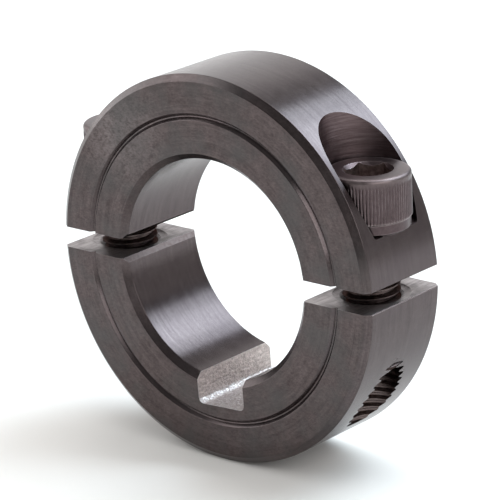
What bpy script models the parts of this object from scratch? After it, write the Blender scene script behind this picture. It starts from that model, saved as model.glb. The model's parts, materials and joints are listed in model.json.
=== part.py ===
"""Two-piece clamp-on shaft collar with a keyway, for a 1 inch shaft.

Frame: the origin is the centre of the bore, halfway along its width. The bore runs along Y, with the grooved
front face towards -Y. The split is horizontal and the screws are vertical, with their heads up (+Z).
"""
import math

import bmesh
import bpy
from mathutils import Matrix, Vector

MM = 0.001
INCH = 25.4 * MM

# The ring, turned in one piece and then sawn in two.
OUTER_RADIUS = 0.875 * INCH
BORE_RADIUS = 0.5 * INCH
WIDTH = 0.5 * INCH
RIM_CHAMFER_RADIAL = 0.76 * MM
RIM_CHAMFER_AXIAL = 0.60 * MM
BORE_CHAMFER = 0.70 * MM
GROOVE_RADIUS = 17.53 * MM
GROOVE_WIDTH = 0.84 * MM
GROOVE_FLOOR_WIDTH = 0.30 * MM
GROOVE_DEPTH = 0.50 * MM

# The saw cut is 3/32 inch wide and stands a little above the centre of the bore.
SAW_CUT = 3 / 32 * INCH
SAW_CUT_CENTRE_Z = 0.30 * MM
UPPER_SPLIT_Z = SAW_CUT_CENTRE_Z + SAW_CUT / 2
LOWER_SPLIT_Z = SAW_CUT_CENTRE_Z - SAW_CUT / 2

BORE_EDGE_BREAK = 0.50 * MM

# The keyway for a 1/4 inch key, broached a little off the bottom of the bore.
KEYWAY_WIDTH = 6.6 * MM
KEYWAY_FLOOR_RADIUS = 15.75 * MM
KEYWAY_CORNER_RADIUS = 0.65 * MM
KEYWAY_ANGLE = math.radians(3.0)

# Two 1/4-28 UNF x 5/8 inch socket head cap screws.
SCREW_X = 17.6 * MM
THREAD_RADIUS = 0.125 * INCH
SCREW_LENGTH = 0.625 * INCH
SCREW_TIP_CHAMFER = 0.60 * MM
HEAD_RADIUS = 4.65 * MM
HEAD_HEIGHT = 0.25 * INCH
HEAD_RIM_CHAMFER = 0.45 * MM
HEAD_FOOT_CHAMFER = 0.25 * MM
SOCKET_ACROSS_FLATS = 3 / 16 * INCH
SOCKET_DEPTH = 0.12 * INCH
SOCKET_CORNER_RADIUS = SOCKET_ACROSS_FLATS / math.sqrt(3)
SOCKET_MOUTH_RADIUS = SOCKET_CORNER_RADIUS + 0.15 * MM
SOCKET_DRILL_RADIUS = SOCKET_ACROSS_FLATS / 2 - 0.10 * MM
DRILL_POINT_DEPTH = 0.90 * MM

# Their holes. The heads stand clear of the counterbore floors by the seat gap.
SEAT_GAP = 0.30 * MM
COUNTERBORE_RADIUS = 13 / 64 * INCH
COUNTERBORE_FLOOR_Z = 6.45 * MM
CLEARANCE_HOLE_RADIUS = 3.40 * MM
TAPPED_HOLE_RADIUS = THREAD_RADIUS + 0.05 * MM
TAPPED_HOLE_CHAMFER = 0.40 * MM

RING_SEGMENTS = 96
HOLE_SEGMENTS = 48
SCREW_SEGMENTS = 48
KEYWAY_CORNER_SEGMENTS = 4
OVERCUT = 5 * MM
MERGE_DISTANCE = 1e-7
SHARP_ANGLE = math.radians(30)

BLACK_OXIDE_COLOUR = (0.115, 0.099, 0.099)
BLACK_OXIDE_ROUGHNESS = 0.30
SCREW_COLOUR = (0.092, 0.076, 0.076)
SCREW_ROUGHNESS = 0.34


def remove_everything():
    for scene_object in list(bpy.data.objects):
        bpy.data.objects.remove(scene_object, do_unlink=True)


def new_collection(name):
    collection = bpy.data.collections.new(name)
    bpy.context.scene.collection.children.link(collection)
    return collection


def principled(name, colour, roughness, metallic=1.0):
    material = bpy.data.materials.new(name)
    material.use_nodes = True
    shader = material.node_tree.nodes["Principled BSDF"]
    shader.inputs["Base Color"].default_value = (*colour, 1.0)
    shader.inputs["Roughness"].default_value = roughness
    shader.inputs["Metallic"].default_value = metallic
    return material


def mesh_object(name, bm, collection):
    mesh = bpy.data.meshes.new(name)
    bm.to_mesh(mesh)
    bm.free()
    scene_object = bpy.data.objects.new(name, mesh)
    collection.objects.link(scene_object)
    return scene_object


def turned(name, profile, segments, collection, closed=False):
    """Turn a profile of (radius, height) points about local Z. It runs down its outer side."""
    bm = bmesh.new()
    points = [bm.verts.new((radius, 0.0, height)) for radius, height in profile]
    for start, end in zip(points, points[1:]):
        bm.edges.new((start, end))
    if closed:
        bm.edges.new((points[-1], points[0]))
    scene_object = mesh_object(name, bm, collection)
    screw = scene_object.modifiers.new("turn", "SCREW")
    screw.axis = "Z"
    screw.angle = math.tau
    screw.steps = segments
    screw.render_steps = segments
    screw.use_merge_vertices = True
    screw.merge_threshold = MERGE_DISTANCE
    return scene_object


def box(name, low, high, collection):
    bm = bmesh.new()
    bmesh.ops.create_cube(bm, size=1.0)
    size = Vector(high) - Vector(low)
    centre = (Vector(high) + Vector(low)) / 2
    bmesh.ops.transform(bm, matrix=Matrix.Translation(centre) @ Matrix.Diagonal((*size, 1.0)), verts=bm.verts)
    return mesh_object(name, bm, collection)


def as_cutter(scene_object):
    scene_object.hide_render = True
    scene_object.display_type = "WIRE"
    return scene_object


def cut(scene_object, cutter):
    boolean = scene_object.modifiers.new("cut " + cutter.name, "BOOLEAN")
    boolean.operation = "DIFFERENCE"
    boolean.solver = "EXACT"
    boolean.object = cutter


def finish(scene_object, material):
    scene_object.data.materials.append(material)
    scene_object.data.shade_smooth()
    scene_object.data.set_sharp_from_angle(angle=SHARP_ANGLE)


def ring(name, collection):
    """The whole turned ring. Its local +Z is the front, so it is stood up facing -Y."""
    half_width = WIDTH / 2
    profile = [
        (OUTER_RADIUS - RIM_CHAMFER_RADIAL, half_width),
        (OUTER_RADIUS, half_width - RIM_CHAMFER_AXIAL),
        (OUTER_RADIUS, RIM_CHAMFER_AXIAL - half_width),
        (OUTER_RADIUS - RIM_CHAMFER_RADIAL, -half_width),
        (BORE_RADIUS + BORE_CHAMFER, -half_width),
        (BORE_RADIUS, BORE_CHAMFER - half_width),
        (BORE_RADIUS, half_width - BORE_CHAMFER),
        (BORE_RADIUS + BORE_CHAMFER, half_width),
        (GROOVE_RADIUS - GROOVE_WIDTH / 2, half_width),
        (GROOVE_RADIUS - GROOVE_FLOOR_WIDTH / 2, half_width - GROOVE_DEPTH),
        (GROOVE_RADIUS + GROOVE_FLOOR_WIDTH / 2, half_width - GROOVE_DEPTH),
        (GROOVE_RADIUS + GROOVE_WIDTH / 2, half_width),
    ]
    scene_object = turned(name, profile, RING_SEGMENTS, collection, closed=True)
    scene_object.rotation_euler.x = math.pi / 2
    return scene_object


def split_cutter(name, low_z, high_z, collection):
    """A box that removes everything of the ring between two heights."""
    reach = OUTER_RADIUS + OVERCUT
    depth = WIDTH / 2 + OVERCUT
    return as_cutter(box(name, (-reach, -depth, low_z), (reach, depth, high_z), collection))


def bore_edge_cutter(name, side, split_z, collection):
    """A square bar that chamfers the edge between the bore and a split face."""
    half_side = BORE_EDGE_BREAK / math.sqrt(2)
    depth = WIDTH / 2 + OVERCUT
    cutter = box(name, (-half_side, -depth, -half_side), (half_side, depth, half_side), collection)
    cutter.location = (side * math.sqrt(BORE_RADIUS**2 - split_z**2), 0.0, split_z)
    cutter.rotation_euler.y = math.radians(45)
    return as_cutter(cutter)


def head_hole(name, x, collection):
    """Counterbore and clearance hole in one stepped cutter."""
    profile = [
        (0.0, OUTER_RADIUS),
        (COUNTERBORE_RADIUS, OUTER_RADIUS),
        (COUNTERBORE_RADIUS, COUNTERBORE_FLOOR_Z),
        (CLEARANCE_HOLE_RADIUS, COUNTERBORE_FLOOR_Z),
        (CLEARANCE_HOLE_RADIUS, UPPER_SPLIT_Z - OVERCUT),
        (0.0, UPPER_SPLIT_Z - OVERCUT),
    ]
    cutter = turned(name, profile, HOLE_SEGMENTS, collection)
    cutter.location.x = x
    return as_cutter(cutter)


def tapped_hole(name, x, collection):
    """Tapped hole, chamfered at its mouth in the split face and open through the rim below."""
    mouth_radius = TAPPED_HOLE_RADIUS + TAPPED_HOLE_CHAMFER
    profile = [
        (0.0, LOWER_SPLIT_Z + OVERCUT),
        (mouth_radius + OVERCUT, LOWER_SPLIT_Z + OVERCUT),
        (TAPPED_HOLE_RADIUS, LOWER_SPLIT_Z - TAPPED_HOLE_CHAMFER),
        (TAPPED_HOLE_RADIUS, -OUTER_RADIUS),
        (0.0, -OUTER_RADIUS),
    ]
    cutter = turned(name, profile, HOLE_SEGMENTS, collection)
    cutter.location.x = x
    return as_cutter(cutter)


def keyway(name, collection):
    """A broached slot from the bore outwards, with its two floor corners rounded."""
    half_width = KEYWAY_WIDTH / 2
    depth = WIDTH / 2 + OVERCUT
    cutter = box(name, (-half_width, -depth, -KEYWAY_FLOOR_RADIUS), (half_width, depth, 0.0), collection)
    bm = bmesh.new()
    bm.from_mesh(cutter.data)
    floor_corners = [
        edge for edge in bm.edges
        if all(vert.co.z < -KEYWAY_FLOOR_RADIUS / 2 for vert in edge.verts)
        and edge.verts[0].co.x * edge.verts[1].co.x > 0
    ]
    bmesh.ops.bevel(
        bm, geom=floor_corners, offset=KEYWAY_CORNER_RADIUS, segments=KEYWAY_CORNER_SEGMENTS, profile=0.5,
        affect="EDGES",
    )
    bm.to_mesh(cutter.data)
    bm.free()
    cutter.rotation_euler.y = -KEYWAY_ANGLE
    return as_cutter(cutter)


def hex_socket(name, collection):
    """Hexagonal hole with a drilled point, in the screw's own frame."""
    bm = bmesh.new()
    bmesh.ops.create_cone(
        bm, cap_ends=True, segments=6, radius1=SOCKET_CORNER_RADIUS, radius2=SOCKET_CORNER_RADIUS,
        depth=SOCKET_DEPTH + OVERCUT,
    )
    bmesh.ops.translate(bm, vec=(0.0, 0.0, HEAD_HEIGHT + (OVERCUT - SOCKET_DEPTH) / 2), verts=bm.verts)
    return as_cutter(mesh_object(name, bm, collection))


def socket_drill(name, collection):
    """The drilled point below the hexagon and the bevel at the socket's mouth."""
    socket_floor = HEAD_HEIGHT - SOCKET_DEPTH
    profile = [
        (0.0, HEAD_HEIGHT + OVERCUT),
        (SOCKET_MOUTH_RADIUS + OVERCUT, HEAD_HEIGHT + OVERCUT),
        (SOCKET_DRILL_RADIUS, HEAD_HEIGHT + SOCKET_DRILL_RADIUS - SOCKET_MOUTH_RADIUS),
        (SOCKET_DRILL_RADIUS, socket_floor),
        (0.0, socket_floor - DRILL_POINT_DEPTH),
    ]
    return as_cutter(turned(name, profile, SCREW_SEGMENTS, collection))


def cap_screw(name, x, material, parts, cutters):
    """A cap screw about its own Z axis, with its origin under the head."""
    profile = [
        (0.0, HEAD_HEIGHT),
        (HEAD_RADIUS - HEAD_RIM_CHAMFER, HEAD_HEIGHT),
        (HEAD_RADIUS, HEAD_HEIGHT - HEAD_RIM_CHAMFER),
        (HEAD_RADIUS, HEAD_FOOT_CHAMFER),
        (HEAD_RADIUS - HEAD_FOOT_CHAMFER, 0.0),
        (THREAD_RADIUS, 0.0),
        (THREAD_RADIUS, SCREW_TIP_CHAMFER - SCREW_LENGTH),
        (THREAD_RADIUS - SCREW_TIP_CHAMFER, -SCREW_LENGTH),
        (0.0, -SCREW_LENGTH),
    ]
    screw = turned(name, profile, SCREW_SEGMENTS, parts)
    screw.location = (x, 0.0, COUNTERBORE_FLOOR_Z + SEAT_GAP)
    for make, suffix in ((hex_socket, "_hexagon"), (socket_drill, "_drill")):
        cutter = make(name + suffix, cutters)
        cutter.parent = screw
        cut(screw, cutter)
    finish(screw, material)
    return screw


def main():
    remove_everything()
    parts = new_collection("shaft_collar")
    cutters = new_collection("cutters")
    black_oxide = principled("black_oxide_steel", BLACK_OXIDE_COLOUR, BLACK_OXIDE_ROUGHNESS)
    screw_steel = principled("black_screw_steel", SCREW_COLOUR, SCREW_ROUGHNESS)
    beyond = OUTER_RADIUS + OVERCUT

    upper_half = ring("upper_half", parts)
    cut(upper_half, split_cutter("below_upper_half", -beyond, UPPER_SPLIT_Z, cutters))
    lower_half = ring("lower_half", parts)
    cut(lower_half, split_cutter("above_lower_half", LOWER_SPLIT_Z, beyond, cutters))
    cut(lower_half, keyway("keyway", cutters))

    for name, side in (("right", 1), ("left", -1)):
        cut(upper_half, bore_edge_cutter(name + "_upper_bore_edge", side, UPPER_SPLIT_Z, cutters))
        cut(upper_half, head_hole(name + "_head_hole", side * SCREW_X, cutters))
        cut(lower_half, bore_edge_cutter(name + "_lower_bore_edge", side, LOWER_SPLIT_Z, cutters))
        cut(lower_half, tapped_hole(name + "_tapped_hole", side * SCREW_X, cutters))
        cap_screw(name + "_screw", side * SCREW_X, screw_steel, parts, cutters)
    finish(upper_half, black_oxide)
    finish(lower_half, black_oxide)


main()
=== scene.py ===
"""Looks of the shaft collar: black oxide steel on a pale studio table.

The frame gives every place. The bore runs along Y with its centre at the origin, and the screws are vertical.
"""

import json
import math

import bmesh
import bpy
from mathutils import Matrix, Vector


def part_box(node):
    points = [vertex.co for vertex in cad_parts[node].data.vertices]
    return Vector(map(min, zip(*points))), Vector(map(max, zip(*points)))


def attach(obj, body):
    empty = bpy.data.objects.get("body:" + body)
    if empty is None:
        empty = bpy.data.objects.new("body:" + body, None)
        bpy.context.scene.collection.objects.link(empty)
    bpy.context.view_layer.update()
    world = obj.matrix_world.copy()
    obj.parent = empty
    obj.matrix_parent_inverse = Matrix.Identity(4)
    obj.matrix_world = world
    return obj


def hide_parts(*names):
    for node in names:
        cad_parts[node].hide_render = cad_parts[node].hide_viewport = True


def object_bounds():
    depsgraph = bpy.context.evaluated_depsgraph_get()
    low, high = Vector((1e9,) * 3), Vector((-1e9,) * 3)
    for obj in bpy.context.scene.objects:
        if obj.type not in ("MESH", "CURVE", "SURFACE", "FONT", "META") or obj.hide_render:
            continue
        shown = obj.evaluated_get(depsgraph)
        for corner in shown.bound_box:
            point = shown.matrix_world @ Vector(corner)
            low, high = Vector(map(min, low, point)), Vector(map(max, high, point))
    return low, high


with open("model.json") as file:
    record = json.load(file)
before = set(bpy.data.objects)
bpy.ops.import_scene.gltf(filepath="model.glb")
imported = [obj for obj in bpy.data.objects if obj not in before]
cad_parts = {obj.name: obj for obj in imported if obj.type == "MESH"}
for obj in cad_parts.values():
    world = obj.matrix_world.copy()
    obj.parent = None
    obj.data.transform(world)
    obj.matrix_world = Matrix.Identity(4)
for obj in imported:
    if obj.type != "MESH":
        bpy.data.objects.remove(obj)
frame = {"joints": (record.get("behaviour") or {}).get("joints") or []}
cad_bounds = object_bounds()

MM = 0.001
INCH = 25.4 * MM

# From the frame. The screws' joints stand at the undersides of their heads.
upper_low, upper_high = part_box("upper_half")
lower_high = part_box("lower_half")[1]
screw_low, screw_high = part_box("right_screw")
joints = {joint["name"]: joint for joint in frame["joints"]}
right_axis = Vector(joints["right_screw_turn"]["pos_m"])
left_axis = Vector(joints["left_screw_turn"]["pos_m"])
OUTER_RADIUS = upper_high.z
HALF_WIDTH = upper_high.y
UPPER_SPLIT_Z = upper_low.z
LOWER_SPLIT_Z = lower_high.z
HEAD_HEIGHT = screw_high.z - right_axis.z
HEAD_RADIUS = (screw_high.y - screw_low.y) / 2
SCREW_LENGTH = right_axis.z - screw_low.z

# The turned ring.
BORE_RADIUS = 0.5 * INCH
RIM_CHAMFER_RADIAL = 0.76 * MM
RIM_CHAMFER_AXIAL = 0.60 * MM
BORE_CHAMFER = 0.70 * MM
GROOVE_RADIUS = 17.53 * MM
GROOVE_WIDTH = 0.84 * MM
GROOVE_DEPTH = 0.50 * MM
CORNER_ROUND = 0.06 * MM
GROOVE_ROUND = 0.14 * MM

# The counterbores and clearance holes.
SEAT_GAP = 0.05 * MM
COUNTERBORE_RADIUS = 13 / 64 * INCH
COUNTERBORE_CORNER = 0.25 * MM
CLEARANCE_HOLE_RADIUS = 3.40 * MM
HOLE_TOP_CHAMFER = 0.15 * MM
HOLE_FOOT_CHAMFER = 0.12 * MM

# The edges of the saw cut.
BORE_EDGE_BREAK = 0.50 * MM
RIM_EDGE_BREAK = 0.08 * MM
SAW_BOW = 9.0  # per metre, the arc of a slitting saw about 110 mm across

# The spot face and countersink round each tapped hole.
SPOT_RADIUS = 4.30 * MM
SPOT_DEPTH = 0.18 * MM
SPOT_WALL = 0.03 * MM
SPOT_SLOPE = 0.25 * MM
COUNTERSINK_MARGIN = 0.35 * MM
COUNTERSINK_TIP_INSET = 0.10 * MM
COUNTERSINK_DEPTH = 0.60 * MM

# The keyway.
KEYWAY_WIDTH = 6.6 * MM
KEYWAY_FLOOR_RADIUS = 15.75 * MM
KEYWAY_CORNER_RADIUS = 0.65 * MM
KEYWAY_ANGLE = math.radians(3.0)

# The place on the front face where a painted highlight lightens the oxide, standing in for reflected light on
# the upper left.
PAINTED_HIGHLIGHT_PLACE = (-12.5 * MM, -HALF_WIDTH, 14.5 * MM)
PAINTED_HIGHLIGHT_CORE = 1.0 * MM
PAINTED_HIGHLIGHT_REACH = 7.5 * MM

# The 1/4-28 thread, as ISO and UNF profiles share it.
PITCH = INCH / 28
THREAD_RADIUS = 0.125 * INCH
SCREW_ROOT_RADIUS = THREAD_RADIUS - 0.6134 * PITCH
TAP_CREST_RADIUS = THREAD_RADIUS - 0.5413 * PITCH
THREAD_CLEARANCE = 0.04 * MM
TIP_CHAMFER = 0.60 * MM
SHANK_OVERLAP = 0.15 * MM

# The screw head, with its knurl between a plain band at the top and a stepped foot.
KNURL_RIDGES = 80
KNURL_SHAPE = (0.0, 0.35, 1.0, 0.35)  # shares of the depth round one ridge, from its crest
KNURL_DEPTH = 0.10 * MM
KNURL_RELIEF = 0.02 * MM
KNURL_TOP_RUN = 0.30 * MM
KNURL_FOOT_RUN = 0.16 * MM
RIM_ROUND = 0.45 * MM
RIM_STEPS = 5
PLAIN_BAND = 0.35 * MM
FOOT_BAND = 1.35 * MM
FOOT_STEP = 0.12 * MM
FOOT_INSET = 0.16 * MM
FOOT_BEVEL_WIDTH = 0.22 * MM
FOOT_BEVEL_HEIGHT = 0.24 * MM

# Its socket.
SOCKET_FLATS = 3 / 16 * INCH
SOCKET_DEPTH = 0.12 * INCH
SOCKET_MOUTH_MARGIN = 0.03 * MM
SOCKET_DRILL_INSET = 0.05 * MM
SOCKET_POINT_DEPTH = 0.90 * MM

# How far a cutting tool stands out of the steel, and how finely round things are drawn.
OVERCUT = 4 * MM
SHORT_OVERCUT = 1 * MM
CHAMFER_OVERCUT = 0.50 * MM
RING_SEGMENTS = 240
HOLE_SEGMENTS = 96
SOCKET_SEGMENTS = 72
THREAD_SEGMENTS = 64
ARC_STEP = math.radians(22)
SHARP_ANGLE = math.radians(32)
ON_AXIS = 1e-7
SIDEWAYS_LIMIT = 0.12

# The camera's place round the collar. Its lens and sensor are in millimetres.
VIEW_AZIMUTH = math.radians(40.9)
VIEW_ELEVATION = math.radians(18.3)
VIEW_ROLL = math.radians(-2.5)
VIEW_DISTANCE = 0.343
VIEW_SHIFT = (0.0062, 0.0133)
VIEW_NEAREST = 0.01
LENS = 221.7
SENSOR = 36.0

# The studio.
WORLD_LEVEL = 0.26
COOL_WHITE = (0.84, 1.0, 1.12)
TABLE_HALF_SIZE = 3.0
TABLE_GAP = 0.02 * MM


# Mesh tools.

def object_from(bm, name, material):
    mesh = bpy.data.meshes.new(name)
    bmesh.ops.recalc_face_normals(bm, faces=bm.faces)
    bm.to_mesh(mesh)
    bm.free()
    piece = bpy.data.objects.new(name, mesh)
    bpy.context.scene.collection.objects.link(piece)
    piece.data.materials.append(material)
    return piece


def place(piece, matrix):
    piece.data.transform(matrix)
    piece.data.update()
    return piece


def combine(piece, tool, operation="DIFFERENCE"):
    """Cut a tool out of a piece, or join it on, and throw the tool away.

    The cut faces keep the tool's material.
    """
    boolean = piece.modifiers.new(operation, "BOOLEAN")
    boolean.operation = operation
    boolean.solver = "EXACT"
    boolean.material_mode = "TRANSFER"
    boolean.object = tool
    bpy.context.view_layer.update()
    evaluated = piece.evaluated_get(bpy.context.evaluated_depsgraph_get())
    result = bpy.data.meshes.new_from_object(evaluated)
    piece.modifiers.clear()
    piece.data = result
    bpy.data.objects.remove(tool, do_unlink=True)


def vertex_ring(bm, radii, height):
    """A ring of vertices about Z, one to each radius. A ring on the axis is one vertex, repeated."""
    count = len(radii)
    if max(radii) < ON_AXIS:
        return [bm.verts.new((0.0, 0.0, height))] * count
    angles = (math.tau * k / count for k in range(count))
    return [bm.verts.new((r * math.cos(a), r * math.sin(a), height)) for r, a in zip(radii, angles)]


def bridge(bm, rings):
    """Close the gap between each ring of vertices and the next with faces."""
    for upper, lower in zip(rings, rings[1:]):
        for k in range(len(upper)):
            after = (k + 1) % len(upper)
            corners = [upper[k], lower[k], lower[after], upper[after]]
            bm.faces.new(dict.fromkeys(corners))


def revolve(profile, segments, closed=False):
    """Turn (radius, height) points about Z. A point on the axis stays one vertex."""
    bm = bmesh.new()
    rings = [vertex_ring(bm, [radius] * segments, height) for radius, height in profile]
    if closed:
        rings.append(rings[0])
    bridge(bm, rings)
    return bm


def rounded(corners, closed=False):
    """Points along a profile whose corners, given as (radius, height, rounding), are arcs."""
    points = []
    count = len(corners)
    for index, (x, y, rounding) in enumerate(corners):
        here = Vector((x, y))
        is_end = not closed and index in (0, count - 1)
        if is_end or rounding == 0:
            points.append((x, y))
            continue
        before = (Vector(corners[index - 1][:2]) - here).normalized()
        after = (Vector(corners[(index + 1) % count][:2]) - here).normalized()
        half_angle = before.angle(after) / 2
        setback = rounding / math.tan(half_angle)
        centre = here + (before + after).normalized() * rounding / math.sin(half_angle)
        start = here + before * setback - centre
        end = here + after * setback - centre
        turn = start.angle_signed(end)
        steps = max(2, round(abs(turn) / ARC_STEP))
        for step in range(steps + 1):
            point = centre + Matrix.Rotation(-turn * step / steps, 2) @ start
            points.append((point.x, point.y))
    return points


def box(low, high, name, material):
    bm = bmesh.new()
    bmesh.ops.create_cube(bm, size=1.0)
    size = Vector(high) - Vector(low)
    middle = (Vector(high) + Vector(low)) / 2
    bmesh.ops.transform(bm, matrix=Matrix.Translation(middle) @ Matrix.Diagonal((*size, 1.0)), verts=bm.verts)
    return object_from(bm, name, material)


def threaded_rod(low, high, crest, root, crest_width, root_width, end_radius, taper_low, taper_high):
    """A rod about Z with a right-hand V thread whose ridges pass angle 0 at whole pitches.

    Its ends at the heights low and high are flat discs of the end radius. From each end on, the thread
    grows by at most that end's taper, in radius for each unit of height.
    """
    flank = (PITCH - crest_width - root_width) / 2
    offsets = [
        (-crest_width / 2, crest),
        (crest_width / 2, crest),
        (crest_width / 2 + flank, root),
        (crest_width / 2 + flank + root_width, root),
    ]
    first = math.floor(low / PITCH) - 2
    last = math.ceil(high / PITCH) + 2
    bm = bmesh.new()
    columns = []
    for k in range(THREAD_SEGMENTS + 1):
        angle = math.tau * k / THREAD_SEGMENTS
        column = []
        for turn in range(first, last):
            for offset, radius in offsets:
                height = PITCH * (turn + k / THREAD_SEGMENTS) + offset
                held = min(max(height, low), high)
                limit = min(end_radius + (held - low) * taper_low, end_radius + (high - held) * taper_high)
                reach = min(radius, max(limit, min(radius, end_radius)))
                column.append(bm.verts.new((reach * math.cos(angle), reach * math.sin(angle), held)))
        columns.append(column)
    for left, right in zip(columns, columns[1:]):
        for k in range(len(left) - 1):
            bm.faces.new((left[k], right[k], right[k + 1], left[k + 1]))
    bmesh.ops.remove_doubles(bm, verts=bm.verts, dist=2e-7)
    bmesh.ops.dissolve_degenerate(bm, edges=bm.edges, dist=1e-7)
    edges = [edge for edge in bm.edges if edge.is_boundary]
    bmesh.ops.holes_fill(bm, edges=edges, sides=0)
    return bm


def shade(piece):
    piece.data.shade_smooth()
    piece.data.set_sharp_from_angle(angle=SHARP_ANGLE)


def turned_normals(piece, axes):
    """Give turned and bored walls the normals of true surfaces of revolution.

    axes maps a material's name to its axes, each a point and a direction, and a face takes the nearest.
    Faces that look sideways round that axis are left alone.
    """
    mesh = piece.data
    names = [material.name for material in mesh.materials]
    normals = [Vector(normal.vector) for normal in mesh.corner_normals]
    for polygon in mesh.polygons:
        choices = axes.get(names[polygon.material_index])
        if not choices:
            continue
        point, direction = min(choices, key=lambda axis: radial(polygon.center, *axis).length)
        outward = radial(polygon.center, point, direction)
        if outward.length < ON_AXIS:
            continue
        outward.normalize()
        around = direction.cross(outward)
        if abs(polygon.normal.dot(around)) > SIDEWAYS_LIMIT:
            continue
        along = polygon.normal.dot(direction)
        across = polygon.normal.dot(outward)
        for loop in polygon.loop_indices:
            at = radial(mesh.vertices[mesh.loops[loop].vertex_index].co, point, direction)
            if at.length > ON_AXIS:
                normals[loop] = (at.normalized() * across + direction * along).normalized()
    mesh.normals_split_custom_set(normals)


def radial(at, point, direction):
    """The way out to a place from the axis through a point."""
    offset = at - point
    return offset - direction * offset.dot(direction)


# Material tools.

class Nodes:
    """A short way to write a material's node tree."""

    def __init__(self, name):
        self.material = bpy.data.materials.new(name)
        self.material.use_nodes = True
        self.tree = self.material.node_tree
        self.shader = self.tree.nodes["Principled BSDF"]
        coordinates = self.add("ShaderNodeTexCoord")
        self.position = coordinates.outputs["Object"]
        self.normal = coordinates.outputs["Normal"]

    def add(self, kind, inputs=None, **settings):
        node = self.tree.nodes.new(kind)
        for key, value in settings.items():
            setattr(node, key, value)
        for key, value in (inputs or {}).items():
            self.feed(value, node.inputs[key])
        return node

    def feed(self, value, socket):
        if isinstance(value, bpy.types.Node):
            value = next(output for output in value.outputs if output.enabled)
        if isinstance(value, bpy.types.NodeSocket):
            self.tree.links.new(value, socket)
        else:
            socket.default_value = value

    def maths(self, operation, a, b=0.0, c=0.0):
        return self.add("ShaderNodeMath", {0: a, 1: b, 2: c}, operation=operation)

    def times(self, product, *factors):
        for factor in factors:
            product = self.maths("MULTIPLY", product, factor)
        return product

    def weighted(self, *parts):
        """The sum of values, each given as (value, weight)."""
        (value, weight), *others = parts
        total = self.maths("MULTIPLY", value, weight)
        for value, weight in others:
            total = self.maths("MULTIPLY_ADD", value, weight, total)
        return total

    def hypotenuse(self, a, b):
        return self.maths("SQRT", self.maths("ADD", self.times(a, a), self.times(b, b)))

    def vector(self, operation, a, b=(0, 0, 0)):
        return self.add("ShaderNodeVectorMath", {0: a, 1: b}, operation=operation)

    def join(self, x, y, z):
        return self.add("ShaderNodeCombineXYZ", {"X": x, "Y": y, "Z": z})

    def split(self, vector):
        return self.add("ShaderNodeSeparateXYZ", {0: vector}).outputs

    def noise(self, vector, scale, detail, roughness):
        """Noise about 0.5. The scale is in waves per unit of the vector, so per metre of a position."""
        inputs = {"Vector": vector, "Scale": scale, "Detail": detail, "Roughness": roughness}
        return self.add("ShaderNodeTexNoise", inputs).outputs["Fac"]

    def ramp(self, value, low, high, to_low=0.0, to_high=1.0):
        inputs = {"Value": value, "From Min": low, "From Max": high, "To Min": to_low, "To Max": to_high}
        return self.add("ShaderNodeMapRange", inputs, clamp=True).outputs["Result"]

    def mix(self, factor, a, b):
        node = self.add("ShaderNodeMix", data_type="RGBA")
        self.feed(factor, node.inputs["Factor"])
        self.feed(a, node.inputs[6])
        self.feed(b, node.inputs[7])
        return node.outputs[2]

    def bump(self, height, distance, strength):
        inputs = {"Height": height, "Distance": distance, "Strength": strength}
        return self.add("ShaderNodeBump", inputs).outputs["Normal"]

    def edge_wear(self, radius):
        """1 on edges and 0 on flats: how far the rounded-off normal leans from the true one."""
        soft = self.add("ShaderNodeBevel", {"Radius": radius}, samples=6).outputs["Normal"]
        true = self.add("ShaderNodeNewGeometry").outputs["Normal"]
        lean = self.vector("DOT_PRODUCT", soft, true).outputs["Value"]
        return self.ramp(lean, 0.995, 0.80)

    def set(self, **inputs):
        """Feed the shader's inputs, and hand over the finished material."""
        for key, value in inputs.items():
            self.feed(value, self.shader.inputs[key.replace("_", " ")])
        return self.material


def steel(tone, warmth=0.225, violet=0.0):
    """A steel's mirror colour. Black oxide is a little brown, and violet where it is thin."""
    return (tone * (1 + 0.65 * warmth), tone * (1 - 0.35 * warmth), tone * (1 - 0.35 * warmth + violet), 1.0)


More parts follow.
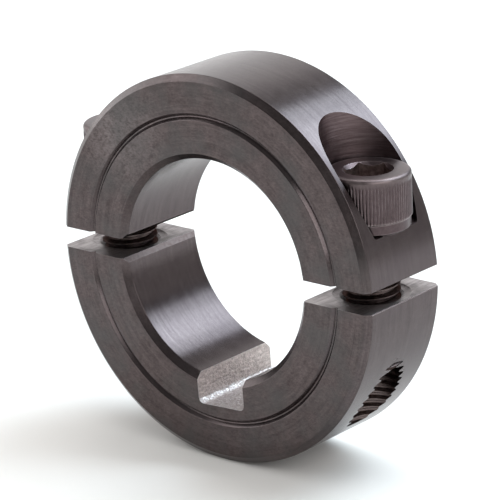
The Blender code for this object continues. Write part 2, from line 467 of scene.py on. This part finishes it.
def turned_steel():
    """Black oxide over fine turning marks that run round the bore, on the rim, faces and bore alike."""
    nodes = Nodes("turned_steel")
    x, y, z = nodes.split(nodes.position)

    # Marks drawn out round the bore, then specks and stains.
    across = nodes.times(nodes.maths("ADD", nodes.hypotenuse(x, z), y), 1 / MM)
    angle = nodes.maths("ARCTAN2", x, z)
    mark_place = nodes.join(across, nodes.times(angle, 0.30), 0.0)
    smear_place = nodes.join(across, nodes.times(angle, 1.5), 0.0)
    fine = nodes.noise(mark_place, 8.0, 3.0, 0.6)
    bands = nodes.noise(mark_place, 1.3, 3.0, 0.6)
    smears = nodes.noise(smear_place, 2.6, 3.0, 0.6)
    marks = nodes.weighted((fine, 0.3), (bands, 0.3), (smears, 0.4))
    dashes = nodes.vector("MULTIPLY", nodes.position, (0.55, 1.0, 1.0))
    grain = nodes.noise(dashes, 4600.0, 3.0, 0.75)
    blotch = nodes.noise(nodes.position, 900.0, 3.0, 0.65)
    stain = nodes.noise(nodes.position, 150.0, 4.0, 0.6)
    specks = nodes.weighted((blotch, 0.4), (grain, 0.6))

    # The walls of the rim and the bore.
    streaks = nodes.ramp(nodes.weighted((marks, 0.6), (specks, 0.4)), 0.38, 0.62)
    wall = nodes.mix(streaks, steel(0.059, 0.25, 0.03), steel(0.103, 0.19))
    wall = nodes.mix(nodes.ramp(stain, 0.48, 0.68, 0.0, 0.5), wall, steel(0.071, 0.22, 0.05))

    # The flat faces.
    mottle = nodes.ramp(nodes.weighted((marks, 0.45), (specks, 0.55)), 0.39, 0.62)
    face = nodes.mix(mottle, steel(0.050), steel(0.114))
    # A painted highlight: a lighter, mottled patch on the upper left of the front face, standing in for
    # reflected light.
    off_highlight = nodes.vector("DISTANCE", nodes.position, PAINTED_HIGHLIGHT_PLACE).outputs["Value"]
    near_highlight = nodes.ramp(off_highlight, PAINTED_HIGHLIGHT_REACH, PAINTED_HIGHLIGHT_CORE)
    painted_highlight = nodes.times(near_highlight, nodes.ramp(specks, 0.42, 0.58, 0.15, 0.8))
    face = nodes.mix(painted_highlight, face, steel(0.185, 0.14))
    face = nodes.mix(nodes.ramp(stain, 0.44, 0.62, 0.0, 0.6), face, steel(0.077, 0.02))

    flat = nodes.ramp(nodes.maths("ABSOLUTE", nodes.split(nodes.normal)[1]), 0.5, 0.9)
    colour = nodes.mix(flat, wall, face)
    worn = nodes.times(nodes.edge_wear(0.10 * MM), nodes.ramp(blotch, 0.40, 0.62, 0.05, 0.50))
    colour = nodes.mix(worn, colour, steel(0.26, 0.14))
    round_way = nodes.vector("NORMALIZE", nodes.join(z, 0.0, nodes.times(x, -1.0)))
    tangent = nodes.add(
        "ShaderNodeVectorTransform", {0: round_way},
        vector_type="VECTOR", convert_from="OBJECT", convert_to="WORLD",
    )
    height = nodes.weighted((fine, 1.0), (grain, 0.5))
    return nodes.set(
        Base_Color=colour, Metallic=1.0, Roughness=nodes.ramp(blotch, 0.3, 0.7, 0.225, 0.265),
        Anisotropic=0.38, Anisotropic_Rotation=0.25, Tangent=tangent.outputs[0],
        Normal=nodes.bump(height, 0.004 * MM, nodes.ramp(flat, 0.0, 1.0, 0.35, 0.6)),
    )


def sawn_steel():
    """Split faces: slitting saw marks in wide arcs, oxide worn lighter."""
    nodes = Nodes("sawn_steel")
    x, y, z = nodes.split(nodes.position)
    sweep = nodes.times(nodes.maths("ADD", x, nodes.times(y, y, SAW_BOW)), 1 / MM)
    marks = nodes.noise(nodes.join(sweep, nodes.times(y, 60.0), z), 5.0, 4.0, 0.65)
    patches = nodes.noise(nodes.position, 420.0, 3.0, 0.6)
    colour = nodes.mix(nodes.ramp(marks, 0.35, 0.65), steel(0.20, 0.12), steel(0.39, 0.10))
    colour = nodes.mix(nodes.ramp(patches, 0.45, 0.65, 0.0, 0.6), colour, steel(0.12, 0.14))
    colour = nodes.mix(nodes.times(nodes.edge_wear(0.10 * MM), 0.5), colour, steel(0.40, 0.05))
    return nodes.set(
        Base_Color=colour, Metallic=1.0, Roughness=nodes.ramp(patches, 0.3, 0.7, 0.36, 0.50),
        Normal=nodes.bump(marks, 0.006 * MM, 0.7),
    )


def bored_steel():
    """Counterbore and clearance hole: a drilled wall with feed rings, dark brown oxide."""
    nodes = Nodes("bored_steel")
    ring_place = nodes.vector("MULTIPLY", nodes.position, (60.0, 40.0, 1000.0))
    rings = nodes.noise(ring_place, 4.2, 4.0, 0.7)
    mottle = nodes.noise(nodes.position, 1500.0, 3.0, 0.6)
    colour = nodes.mix(nodes.ramp(rings, 0.38, 0.66), steel(0.080, 0.37, 0.03), steel(0.134, 0.29, 0.02))
    colour = nodes.mix(nodes.times(nodes.edge_wear(0.08 * MM), 0.5), colour, steel(0.40, 0.08))
    return nodes.set(
        Base_Color=colour, Metallic=1.0, Specular_Tint=steel(0.35),
        Roughness=nodes.ramp(mottle, 0.3, 0.7, 0.34, 0.50),
        Normal=nodes.bump(rings, 0.030 * MM, 0.8),
    )


def thread_steel(name, tone):
    """Threads, filed edges and the screws' sockets: dark, oily brown oxide with bright worn crests."""
    nodes = Nodes(name)
    grain = nodes.noise(nodes.position, 2400.0, 3.0, 0.65)
    dark, light = steel(tone * 0.7, 0.32, -0.07), steel(tone * 1.3, 0.24, -0.05)
    colour = nodes.mix(nodes.ramp(grain, 0.35, 0.65), dark, light)
    colour = nodes.mix(nodes.times(nodes.edge_wear(0.07 * MM), 0.55), colour, steel(0.36, 0.20))
    return nodes.set(
        Base_Color=colour, Metallic=1.0, Specular_Tint=steel(0.28, 0.0),
        Roughness=nodes.ramp(grain, 0.3, 0.7, 0.28, 0.44),
        Normal=nodes.bump(grain, 0.006 * MM, 0.6),
    )


def broached_steel():
    """Keyway: bare steel torn by the broach along the bore, with bright flecks at the floor's corners that
    are partly burnish and partly painted highlight.
    """
    nodes = Nodes("broached_steel")
    streak_place = nodes.vector("MULTIPLY", nodes.position, (1000.0, 380.0, 1000.0))
    streaks = nodes.noise(streak_place, 3.2, 5.0, 0.7)
    pits = nodes.noise(nodes.position, 4200.0, 4.0, 0.75)
    flakes = nodes.noise(nodes.position, 2300.0, 3.0, 0.7)
    flecks = nodes.noise(nodes.position, 3600.0, 2.0, 0.6)
    colour = nodes.mix(nodes.ramp(streaks, 0.35, 0.65), steel(0.37, 0.16, -0.05), steel(0.67, 0.13, -0.04))
    colour = nodes.mix(nodes.ramp(pits, 0.56, 0.72, 0.0, 0.85), colour, steel(0.15, 0.12, -0.06))

    # The floor is darker. Its two corners carry bright flecks: partly burnish, partly a painted highlight for
    # the reflection in the fillets.
    inputs = {"Vector": nodes.position, "Angle": KEYWAY_ANGLE}
    upright = nodes.add("ShaderNodeVectorRotate", inputs, rotation_type="Y_AXIS")
    side, _, height = nodes.split(upright)
    floor, wall = -KEYWAY_FLOOR_RADIUS, KEYWAY_WIDTH / 2
    near_wall = nodes.ramp(nodes.maths("ABSOLUTE", side), wall - 0.9 * MM, wall - 0.4 * MM)
    near_floor = nodes.ramp(height, floor + 0.8 * MM, floor + 0.35 * MM)
    corner_highlight_and_burnish = nodes.times(near_wall, near_floor, nodes.ramp(flecks, 0.50, 0.57))
    on_floor = nodes.ramp(height, floor + 0.5 * MM, floor + 0.1 * MM, 0.0, 0.55)
    colour = nodes.mix(on_floor, colour, steel(0.14, 0.14, -0.04))
    colour = nodes.mix(corner_highlight_and_burnish, colour, steel(0.70, 0.03))
    colour = nodes.mix(nodes.times(nodes.edge_wear(0.12 * MM), 0.8), colour, steel(0.85, 0.03))
    relief = nodes.weighted((streaks, 1.0), (flakes, 1.8), (pits, 0.8))
    return nodes.set(
        Base_Color=colour, Metallic=1.0, Roughness=nodes.ramp(flakes, 0.3, 0.7, 0.28, 0.54),
        Normal=nodes.bump(relief, 0.085 * MM, 1.0),
    )


def screw_steel():
    """Cap screw: satin black oxide, rubbed bright.

    The rubbed places are the rim, the socket's mouth and the crests of the knurl, and a painted highlight
    lines the lower end of the knurl.
    """
    nodes = Nodes("screw_steel")
    x, y, z = nodes.split(nodes.position)
    grain = nodes.noise(nodes.position, 2200.0, 4.0, 0.65)
    rub_and_sheen = nodes.noise(nodes.position, 520.0, 3.0, 0.6)
    colour = nodes.mix(nodes.ramp(grain, 0.3, 0.7), steel(0.050, 0.34, 0.05), steel(0.086, 0.30, 0.03))

    off_axis = nodes.maths("SUBTRACT", nodes.maths("ABSOLUTE", x), right_axis.x)
    radius = nodes.hypotenuse(off_axis, y)
    top = right_axis.z + HEAD_HEIGHT
    high = nodes.ramp(z, top - 1.0 * MM, top - 0.35 * MM)
    outer = nodes.ramp(radius, HEAD_RADIUS - 0.85 * MM, HEAD_RADIUS - 0.35 * MM)
    rim = nodes.times(high, outer, nodes.ramp(rub_and_sheen, 0.30, 0.60, 0.35, 1.0))
    colour = nodes.mix(rim, colour, steel(0.135, 0.22))

    # A painted highlight: a light line round the foot of the knurl, where its chamfer catches light, broken
    # up by noise.
    from_foot = nodes.maths("ABSOLUTE", nodes.maths("SUBTRACT", z, right_axis.z + FOOT_BAND))
    near_foot = nodes.ramp(from_foot, 0.22 * MM, 0.08 * MM)
    foot_highlight = nodes.times(near_foot, nodes.ramp(rub_and_sheen, 0.30, 0.60, 0.3, 0.9))
    colour = nodes.mix(foot_highlight, colour, steel(0.17, 0.20))

    worn = nodes.times(nodes.edge_wear(0.13 * MM), nodes.ramp(rub_and_sheen, 0.30, 0.62, 0.35, 1.0))
    colour = nodes.mix(worn, colour, steel(0.40, 0.16))
    satin = nodes.weighted((nodes.ramp(grain, 0.3, 0.7, 0.28, 0.40), 1.0), (rim, 0.12))
    return nodes.set(
        Base_Color=colour, Metallic=1.0, Roughness=satin, Normal=nodes.bump(grain, 0.008 * MM, 0.8)
    )


# The collar's pieces.

def ring_profile():
    outer, half = OUTER_RADIUS, HALF_WIDTH
    corners = [
        (outer - RIM_CHAMFER_RADIAL, half, CORNER_ROUND),
        (outer, half - RIM_CHAMFER_AXIAL, CORNER_ROUND),
        (outer, RIM_CHAMFER_AXIAL - half, CORNER_ROUND),
        (outer - RIM_CHAMFER_RADIAL, -half, CORNER_ROUND),
        (BORE_RADIUS + BORE_CHAMFER, -half, CORNER_ROUND),
        (BORE_RADIUS, BORE_CHAMFER - half, CORNER_ROUND),
        (BORE_RADIUS, half - BORE_CHAMFER, CORNER_ROUND),
        (BORE_RADIUS + BORE_CHAMFER, half, CORNER_ROUND),
        (GROOVE_RADIUS - GROOVE_WIDTH / 2, half, CORNER_ROUND),
        (GROOVE_RADIUS, half - GROOVE_DEPTH, GROOVE_ROUND),
        (GROOVE_RADIUS + GROOVE_WIDTH / 2, half, CORNER_ROUND),
    ]
    return rounded(corners, closed=True)


def ring(name, turned):
    """The whole turned ring, stood up so that its grooved face looks along -Y."""
    piece = object_from(revolve(ring_profile(), RING_SEGMENTS, closed=True), name, turned)
    return place(piece, Matrix.Rotation(math.pi / 2, 4, "X"))


def split_edges(piece, split_z, filed):
    """Break the edges where the split faces meet the bore, widely, and the rim, narrowly."""
    depth = HALF_WIDTH + OVERCUT
    for side in (1, -1):
        for radius, leg in ((BORE_RADIUS, BORE_EDGE_BREAK), (OUTER_RADIUS, RIM_EDGE_BREAK)):
            x = side * math.sqrt(radius**2 - split_z**2)
            half_side = leg / math.sqrt(2)
            bar = box((-half_side, -depth, -half_side), (half_side, depth, half_side), "edge_bar", filed)
            on_edge = Matrix.Rotation(math.radians(45), 4, "Y")
            combine(piece, place(bar, Matrix.Translation((x, 0, split_z)) @ on_edge))


def half_ring(name, waste_low, waste_high, split_z, turned, sawn, filed):
    """The turned ring with the part between two heights sawn away and the new edges broken."""
    piece = ring(name, turned)
    reach, depth = OUTER_RADIUS + OVERCUT, HALF_WIDTH + OVERCUT
    combine(piece, box((-reach, -depth, waste_low), (reach, depth, waste_high), "waste", sawn))
    split_edges(piece, split_z, filed)
    return piece


def counterbore_tool(axis, bored):
    """The counterbore, its seat and the clearance hole, chamfered at both ends."""
    floor = axis.z - SEAT_GAP
    foot = UPPER_SPLIT_Z - CHAMFER_OVERCUT
    corners = [
        (0.0, OUTER_RADIUS + OVERCUT, 0),
        (COUNTERBORE_RADIUS, OUTER_RADIUS + OVERCUT, 0),
        (COUNTERBORE_RADIUS, floor, COUNTERBORE_CORNER),
        (CLEARANCE_HOLE_RADIUS + HOLE_TOP_CHAMFER, floor, 0),
        (CLEARANCE_HOLE_RADIUS, floor - HOLE_TOP_CHAMFER, 0),
        (CLEARANCE_HOLE_RADIUS, UPPER_SPLIT_Z + HOLE_FOOT_CHAMFER, 0),
        (CLEARANCE_HOLE_RADIUS + HOLE_FOOT_CHAMFER + CHAMFER_OVERCUT, foot, 0),
        (0.0, foot, 0),
    ]
    tool = object_from(revolve(rounded(corners), HOLE_SEGMENTS), "counterbore", bored)
    return place(tool, Matrix.Translation((axis.x, axis.y, 0)))


def tap_tool(axis, thread):
    """The tapped hole, in step with the screw in it."""
    rod = threaded_rod(
        low=-OUTER_RADIUS - axis.z, high=LOWER_SPLIT_Z + OVERCUT - axis.z,
        crest=THREAD_RADIUS + THREAD_CLEARANCE, root=TAP_CREST_RADIUS + THREAD_CLEARANCE,
        crest_width=PITCH / 8 + 2 * THREAD_CLEARANCE, root_width=PITCH / 4 - 2 * THREAD_CLEARANCE,
        end_radius=TAP_CREST_RADIUS, taper_low=9.0, taper_high=9.0,
    )
    return place(object_from(rod, "tap", thread), Matrix.Translation(axis))


def tap_mouth(axis, sawn):
    """A shallow spot round the tapped hole, then the countersink that starts the thread."""
    spot_floor = LOWER_SPLIT_Z - SPOT_DEPTH
    profile = [
        (0.0, LOWER_SPLIT_Z + SHORT_OVERCUT),
        (SPOT_RADIUS, LOWER_SPLIT_Z + SHORT_OVERCUT),
        (SPOT_RADIUS, LOWER_SPLIT_Z - SPOT_WALL),
        (SPOT_RADIUS - SPOT_SLOPE, spot_floor),
        (THREAD_RADIUS + COUNTERSINK_MARGIN, spot_floor),
        (TAP_CREST_RADIUS - COUNTERSINK_TIP_INSET, spot_floor - COUNTERSINK_DEPTH),
        (0.0, spot_floor - COUNTERSINK_DEPTH),
    ]
    tool = object_from(revolve(profile, HOLE_SEGMENTS), "tap_mouth", sawn)
    return place(tool, Matrix.Translation((axis.x, axis.y, 0)))


def keyway_tool(broached):
    half = KEYWAY_WIDTH / 2
    depth = HALF_WIDTH + OVERCUT
    tool = box((-half, -depth, -KEYWAY_FLOOR_RADIUS), (half, depth, 0), "keyway", broached)
    bm = bmesh.new()
    bm.from_mesh(tool.data)
    low = [edge for edge in bm.edges if all(vert.co.z < -KEYWAY_FLOOR_RADIUS / 2 for vert in edge.verts)]
    corners = [edge for edge in low if edge.verts[0].co.x * edge.verts[1].co.x > 0]
    bmesh.ops.bevel(bm, geom=corners, offset=KEYWAY_CORNER_RADIUS, segments=4, profile=0.5, affect="EDGES")
    bm.to_mesh(tool.data)
    bm.free()
    return place(tool, Matrix.Rotation(-KEYWAY_ANGLE, 4, "Y"))


def make_upper_half(turned, sawn, filed, bored):
    below = -OUTER_RADIUS - OVERCUT
    piece = half_ring("upper_half_steel", below, UPPER_SPLIT_Z, UPPER_SPLIT_Z, turned, sawn, filed)
    for axis in (right_axis, left_axis):
        combine(piece, counterbore_tool(axis, bored))
    return piece


def make_lower_half(turned, sawn, filed, thread, broached):
    above = OUTER_RADIUS + OVERCUT
    piece = half_ring("lower_half_steel", LOWER_SPLIT_Z, above, LOWER_SPLIT_Z, turned, sawn, filed)
    combine(piece, keyway_tool(broached))
    for axis in (right_axis, left_axis):
        combine(piece, tap_tool(axis, thread))
        combine(piece, tap_mouth(axis, sawn))
    return piece


def head_mesh():
    """The knurled head, from its top face down to its underside."""
    top, radius = HEAD_HEIGHT, HEAD_RADIUS
    foot_radius = radius - FOOT_INSET
    knurl_top = top - RIM_ROUND - PLAIN_BAND
    rows = [(0.0, top, 0.0)]
    for step in range(RIM_STEPS + 1):
        angle = math.pi / 2 * (1 - step / RIM_STEPS)
        inset, drop = RIM_ROUND * (1 - math.cos(angle)), RIM_ROUND * (1 - math.sin(angle))
        rows.append((radius - inset, top - drop, 0.0))
    rows += [
        (radius - KNURL_RELIEF, knurl_top, 0.0),
        (radius, knurl_top - KNURL_TOP_RUN, 1.0),
        (radius, FOOT_BAND + KNURL_FOOT_RUN, 1.0),
        (radius - KNURL_RELIEF, FOOT_BAND, 0.0),
        (foot_radius, FOOT_BAND - FOOT_STEP, 0.0),
        (foot_radius, FOOT_BEVEL_HEIGHT, 0.0),
        (foot_radius - FOOT_BEVEL_WIDTH, 0.0, 0.0),
        (0.0, 0.0, 0.0),
    ]
    bm = bmesh.new()
    rings = []
    for base, height, knurl in rows:
        ridge = [base - KNURL_DEPTH * knurl * share for share in KNURL_SHAPE]
        rings.append(vertex_ring(bm, ridge * KNURL_RIDGES, height))
    bridge(bm, rings)
    return bm


def socket_tools(satin, socket):
    """The hexagon, and the drill whose chamfer opens the socket's mouth."""
    corner = SOCKET_FLATS / math.sqrt(3)
    depth = SOCKET_DEPTH + OVERCUT
    bm = bmesh.new()
    bmesh.ops.create_cone(bm, cap_ends=True, segments=6, radius1=corner, radius2=corner, depth=depth)
    hexagon = object_from(bm, "hexagon", socket)
    place(hexagon, Matrix.Translation((0, 0, HEAD_HEIGHT + (OVERCUT - SOCKET_DEPTH) / 2)))
    mouth = corner + SOCKET_MOUTH_MARGIN
    drill = SOCKET_FLATS / 2 - SOCKET_DRILL_INSET
    floor = HEAD_HEIGHT - SOCKET_DEPTH
    profile = [
        (0.0, HEAD_HEIGHT + SHORT_OVERCUT),
        (mouth + SHORT_OVERCUT, HEAD_HEIGHT + SHORT_OVERCUT),
        (mouth, HEAD_HEIGHT),
        (drill, HEAD_HEIGHT - (mouth - drill)),
        (drill, floor),
        (0.0, floor - SOCKET_POINT_DEPTH),
    ]
    return hexagon, object_from(revolve(profile, SOCKET_SEGMENTS), "drill", satin)


def make_screw(name, axis, satin, thread, socket):
    """A cap screw made at its axis: head, threaded shank, hexagon socket."""
    piece = object_from(head_mesh(), name, satin)
    for tool in socket_tools(satin, socket):
        combine(piece, tool)
    shank = threaded_rod(
        low=-SCREW_LENGTH, high=SHANK_OVERLAP, crest=THREAD_RADIUS, root=SCREW_ROOT_RADIUS,
        crest_width=PITCH / 8, root_width=PITCH / 4,
        end_radius=THREAD_RADIUS - TIP_CHAMFER, taper_low=1.0, taper_high=4.0,
    )
    combine(piece, object_from(shank, "shank", thread), "UNION")
    return place(piece, Matrix.Translation(axis))


# The studio.

def view_axes():
    """The camera's right, up and backward directions."""
    azimuth, elevation = VIEW_AZIMUTH, VIEW_ELEVATION
    back = Vector((
        math.sin(azimuth) * math.cos(elevation), -math.cos(azimuth) * math.cos(elevation), math.sin(elevation)
    ))
    level = Vector((math.cos(azimuth), math.sin(azimuth), 0))
    upright = back.cross(level)
    right = math.cos(VIEW_ROLL) * level + math.sin(VIEW_ROLL) * upright
    return right, back.cross(right), back


def make_camera():
    data = bpy.data.cameras.new("camera")
    data.lens = LENS
    data.sensor_width = SENSOR
    data.shift_x, data.shift_y = VIEW_SHIFT
    data.clip_start = VIEW_NEAREST
    camera = bpy.data.objects.new("camera", data)
    right, up, back = view_axes()
    turn = Matrix((right, up, back)).transposed().to_4x4()
    camera.matrix_world = Matrix.Translation(back * VIEW_DISTANCE) @ turn
    bpy.context.scene.collection.objects.link(camera)
    bpy.context.scene.camera = camera


def softbox(name, direction, distance, size, radiance, colour=(1, 1, 1), roll=0):
    """An area light that looks at the collar from a direction, as bright as its radiance says.

    Sizes are width and height in metres, and roll is in degrees.
    """
    width, height = size
    data = bpy.data.lights.new(name, "AREA")
    data.shape = "RECTANGLE"
    data.size = width
    data.size_y = height
    data.energy = math.pi * radiance * width * height
    data.color = colour
    light = bpy.data.objects.new(name, data)
    away = Vector(direction).normalized()
    light.location = away * distance
    facing = away.to_track_quat("Z", "Y").to_matrix()
    light.rotation_euler = (facing @ Matrix.Rotation(math.radians(roll), 3, "Z")).to_euler()
    bpy.context.scene.collection.objects.link(light)


def make_lights():
    softbox("back_top_box", direction=(0.29, 0.55, 0.785), distance=0.36, size=(0.25, 0.33), radiance=4.0,
            colour=COOL_WHITE, roll=36)
    softbox("back_top_core", direction=(0.30, 0.55, 0.78), distance=0.36, size=(0.12, 0.18), radiance=3.6,
            colour=COOL_WHITE, roll=36)
    softbox("overhead_box", direction=(-0.05, 0.32, 1.0), distance=0.9, size=(0.90, 0.50), radiance=3.1)
    softbox("back_left_panel", direction=(-0.62, 0.73, 0.22), distance=0.7, size=(0.56, 0.66), radiance=1.08)
    softbox("left_panel", direction=(-0.86, -0.31, 0.41), distance=0.7, size=(0.92, 0.62), radiance=2.0)
    softbox("right_fill", direction=(0.85, -0.25, 0.46), distance=0.8, size=(0.70, 0.60), radiance=3.0)
    softbox("right_panel", direction=(0.72, 0.68, 0.12), distance=0.7, size=(0.42, 0.40), radiance=0.4)


def make_world():
    world = bpy.data.worlds.new("studio")
    world.use_nodes = True
    colour = (WORLD_LEVEL, WORLD_LEVEL, WORLD_LEVEL, 1)
    world.node_tree.nodes["Background"].inputs["Color"].default_value = colour
    bpy.context.scene.world = world


def make_floor():
    nodes = Nodes("white_table")
    cloud = nodes.noise(nodes.position, 6.0, 2.0, 0.5)
    colour = nodes.mix(cloud, (0.76, 0.748, 0.723, 1), (0.80, 0.787, 0.761, 1))
    bm = bmesh.new()
    bmesh.ops.create_grid(bm, x_segments=1, y_segments=1, size=TABLE_HALF_SIZE)
    floor = object_from(bm, "table", nodes.set(Base_Color=colour, Roughness=0.9))
    place(floor, Matrix.Translation((0, 0, cad_bounds[0][2] - TABLE_GAP)))


def make_studio():
    bpy.context.scene.view_settings.view_transform = "Standard"
    make_camera()
    make_world()
    make_floor()
    make_lights()


def main():
    turned = turned_steel()
    sawn = sawn_steel()
    bored = bored_steel()
    thread = thread_steel("tapped_thread_steel", 0.10)
    filed = thread_steel("filed_edge_steel", 0.066)
    broached = broached_steel()
    screw = screw_steel()
    screw_thread = thread_steel("screw_thread_steel", 0.085)
    socket = thread_steel("socket_steel", 0.30)
    y_axis = (Vector((0, 0, 0)), Vector((0, 1, 0)))
    z_axes = [(right_axis, Vector((0, 0, 1))), (left_axis, Vector((0, 0, 1)))]

    upper = make_upper_half(turned, sawn, filed, bored)
    shade(upper)
    turned_normals(upper, {turned.name: [y_axis], bored.name: z_axes})
    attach(upper, "upper")
    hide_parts("upper_half")

    lower = make_lower_half(turned, sawn, filed, thread, broached)
    shade(lower)
    turned_normals(lower, {turned.name: [y_axis]})
    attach(lower, "lower")
    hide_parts("lower_half")

    for side, axis in (("right", right_axis), ("left", left_axis)):
        piece = make_screw(side + "_cap_screw", axis, screw, screw_thread, socket)
        shade(piece)
        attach(piece, "screw_" + side)
        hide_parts(side + "_screw")
    make_studio()


main()
